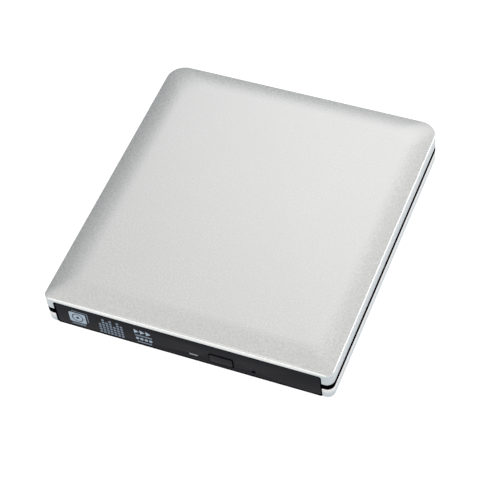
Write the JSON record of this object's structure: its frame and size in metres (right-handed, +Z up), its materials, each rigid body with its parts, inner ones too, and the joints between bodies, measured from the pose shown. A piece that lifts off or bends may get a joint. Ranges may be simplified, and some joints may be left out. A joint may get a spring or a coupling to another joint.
{
  "type": "external optical disc drive",
  "caption": "Slim tray-loading optical disc drive in a silver two-part shell, with a sliding tray, spindle, pickup and latch.",
  "frame": {"origin": "middle of the footprint, on the surface that the rubber feet stand on", "axes": "+X to the right seen from the front, +Y to the back, +Z up; the tray slides out along -Y"},
  "size_m": [0.14, 0.153, 0.0213],
  "materials": {
    "shell_aluminium": "fine bead-blasted silver with a satin sheen",
    "black_plastic": "moulded matte black",
    "foot_rubber": "soft dark rubber",
    "damper_rubber": "soft rubber",
    "foam": "open-cell foam",
    "zinc_steel": "zinc-plated sheet with faint rolling grain",
    "rail_steel": "rolled steel, lightly greased",
    "traverse_steel": "stamped plated steel",
    "rod_steel": "ground and polished",
    "screw_steel": "nickel-plated",
    "screw_black": "black oxide",
    "spring_steel": "drawn wire",
    "port_steel": "plated, smooth",
    "motor_steel": "turned and plated",
    "solenoid_steel": "folded plated sheet",
    "board_green": "printed board with green mask and tinned pads",
    "connector_black": "glass-filled moulding",
    "connector_cream": "glass-filled moulding",
    "chip_black": "moulded package",
    "tray_black": "fine spark-eroded texture",
    "trim_black": "matte black coated sheet",
    "bezel_charcoal": "fine satin texture",
    "button_charcoal": "fine satin texture",
    "light_window": "clear moulding, unlit",
    "led_clear": "clear resin",
    "turntable_grey": "moulded dark grey",
    "claw_black": "smooth low-friction moulding",
    "pickup_zinc": "die-cast, slightly rough",
    "pickup_cover_steel": "stamped sheet",
    "holder_black": "moulded liquid-crystal polymer",
    "lens_glass": "coated glass with a blue tint",
    "flex_white": "flat film cable with tinned ends",
    "lever_white": "acetal"
  },
  "bodies": {
    "enclosure": {"top_cover": "shell_aluminium", "bottom_cover": "shell_aluminium", "mid_frame": "black_plastic", "rubber_feet": "foot_rubber", "cover_screws": "screw_steel", "foam_pads": "foam", "drive_lid": "zinc_steel", "drive_pan": "zinc_steel", "drive_screws": "screw_steel", "lid_screws": "screw_steel", "strike_pin": "rod_steel", "eject_spring": "spring_steel", "left_guide_rail": "rail_steel", "right_guide_rail": "rail_steel", "socket_board": "board_green", "drive_socket": "connector_black", "rear_flex_connector": "connector_cream", "bridge_board": "board_green", "bridge_plug": "connector_black", "bridge_chips": "chip_black", "bridge_screws": "screw_steel", "port_shell": "port_steel", "port_tongue": "connector_black"},
    "tray": {"tray": "tray_black", "front_bezel": "bezel_charcoal", "led_window": "light_window", "trim_plate": "trim_black", "trim_screws": "screw_black", "tray_screws": "screw_steel", "traverse_frame": "traverse_steel", "dampers": "damper_rubber", "guide_rods": "rod_steel", "stepper_motor": "motor_steel", "motor_base": "motor_steel", "main_board": "board_green", "board_chips": "chip_black", "front_flex_connector": "connector_cream", "flex_cable": "flex_white", "button_board": "board_green", "eject_switch": "connector_black", "status_led": "led_clear", "solenoid_body": "solenoid_steel", "solenoid_core": "rod_steel", "latch_spring": "spring_steel"},
    "left_rail": {"left_mid_rail": "rail_steel"},
    "right_rail": {"right_mid_rail": "rail_steel"},
    "eject_button": {"eject_button": "button_charcoal"},
    "spindle": {"rotor_cup": "motor_steel", "turntable": "turntable_grey", "turntable_ring": "damper_rubber"},
    "claw_1": {"disc_claw_1": "claw_black"},
    "claw_2": {"disc_claw_2": "claw_black"},
    "claw_3": {"disc_claw_3": "claw_black"},
    "lead_screw": {"lead_screw": "rod_steel"},
    "pickup": {"pickup_sled": "pickup_zinc", "pickup_cover": "pickup_cover_steel"},
    "lens": {"lens_holder": "holder_black", "lens": "lens_glass"},
    "latch": {"latch_lever": "lever_white"}
  },
  "joints": [
    {"name": "tray_slide", "type": "slide", "parent": "enclosure", "child": "tray", "axis": [0, -1, 0], "range_m": [0, 0.125], "deforming": ["flex_cable"]},
    {"name": "left_rail_slide", "type": "slide", "parent": "enclosure", "child": "left_rail", "axis": [0, -1, 0], "range_m": [0, 0.0625]},
    {"name": "right_rail_slide", "type": "slide", "parent": "enclosure", "child": "right_rail", "axis": [0, -1, 0], "range_m": [0, 0.0625]},
    {"name": "eject_button_press", "type": "slide", "parent": "tray", "child": "eject_button", "axis": [0, 1, 0], "range_m": [0, 0.0005], "stiffness_N_per_m": 800, "springref_m": -0.0005},
    {"name": "disc_spin", "type": "hinge", "parent": "tray", "child": "spindle", "pos_m": [0, -0.01, 0.0085], "axis": [0, 0, 1], "continuous": true},
    {"name": "claw_1_give", "type": "slide", "parent": "spindle", "child": "claw_1", "axis": [-0.5, 0.866, 0], "range_m": [0, 0.0005], "stiffness_N_per_m": 600, "springref_m": -0.0003},
    {"name": "claw_2_give", "type": "slide", "parent": "spindle", "child": "claw_2", "axis": [-0.5, -0.866, 0], "range_m": [0, 0.0005], "stiffness_N_per_m": 600, "springref_m": -0.0003},
    {"name": "claw_3_give", "type": "slide", "parent": "spindle", "child": "claw_3", "axis": [1, 0, 0], "range_m": [0, 0.0005], "stiffness_N_per_m": 600, "springref_m": -0.0003},
    {"name": "pickup_travel", "type": "slide", "parent": "tray", "child": "pickup", "axis": [-0.7071, -0.7071, 0], "range_m": [0, 0.032]},
    {"name": "lead_screw_turn", "type": "hinge", "parent": "tray", "child": "lead_screw", "pos_m": [-0.03783, -0.02167, 0.0059], "axis": [-0.7071, -0.7071, 0], "range_deg": [0, 3841]},
    {"name": "lens_focus", "type": "slide", "parent": "pickup", "child": "lens", "axis": [0, 0, 1], "range_m": [-0.0004, 0.0004], "stiffness_N_per_m": 40},
    {"name": "latch_turn", "type": "hinge", "parent": "tray", "child": "latch", "pos_m": [0.042, -0.053, 0.0065], "axis": [0, 0, 1], "range_deg": [0, 15]}
  ],
  "couplings": [
    {"joint": "left_rail_slide", "follows": "tray_slide", "ratio": 0.5},
    {"joint": "right_rail_slide", "follows": "tray_slide", "ratio": 0.5},
    {"joint": "lead_screw_turn", "follows": "pickup_travel", "rad_per_m": 2094.4}
  ]
}
